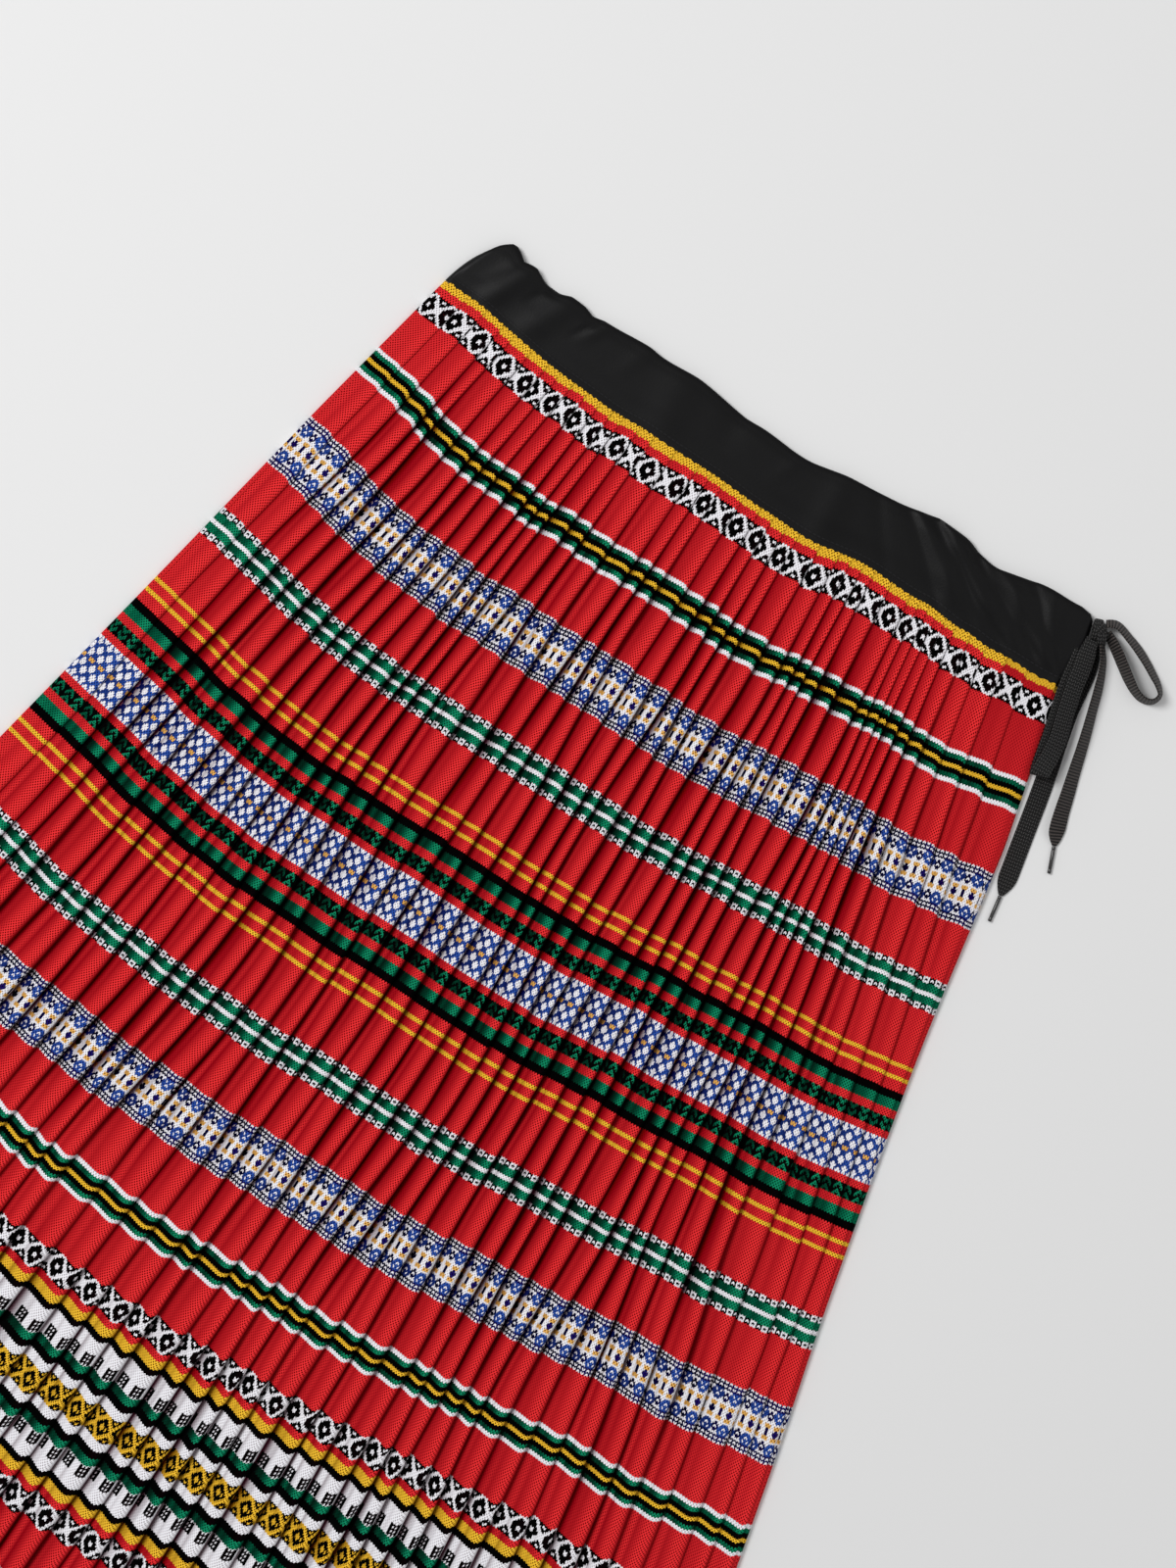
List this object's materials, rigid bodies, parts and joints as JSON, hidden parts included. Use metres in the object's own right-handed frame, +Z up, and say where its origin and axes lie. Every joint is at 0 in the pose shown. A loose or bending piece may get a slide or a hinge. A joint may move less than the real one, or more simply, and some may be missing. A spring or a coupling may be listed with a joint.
{
  "type": "pleated knit skirt laid flat",
  "caption": "Long flared skirt of pleated, patterned knit with a dark drawstring waistband tied at one side, laid flat with its front up.",
  "frame": {"origin": "centre of the skirt's footprint, on the surface that it lies on, without the drawstring's loops and ends", "axes": "+Z up from the surface through the back and then the front, +Y from the hem to the waist, +X towards the side where the drawstring is tied"},
  "size_m": [0.7072, 0.8501, 0.0101],
  "materials": {
    "front_knit": "jacquard knit in red with bands of green, yellow, black, white and blue, matt",
    "back_knit": "the same jacquard knit, pressed flat, matt",
    "band_jersey": "black jersey, matt with a faint sheen on its folds",
    "braid": "charcoal flat braid, matt",
    "tip_plastic": "dark shiny film rolled round the braid's end"
  },
  "bodies": {
    "root": {"skirt_front": "front_knit", "skirt_back": "back_knit", "waistband_front": "band_jersey", "waistband_back": "band_jersey", "drawstring_knot": "braid", "drawstring_loop_1": "braid", "drawstring_loop_2": "braid", "drawstring_end_1": "braid", "drawstring_end_2": "braid", "aglet_1": "tip_plastic", "aglet_2": "tip_plastic"}
  },
  "joints": []
}
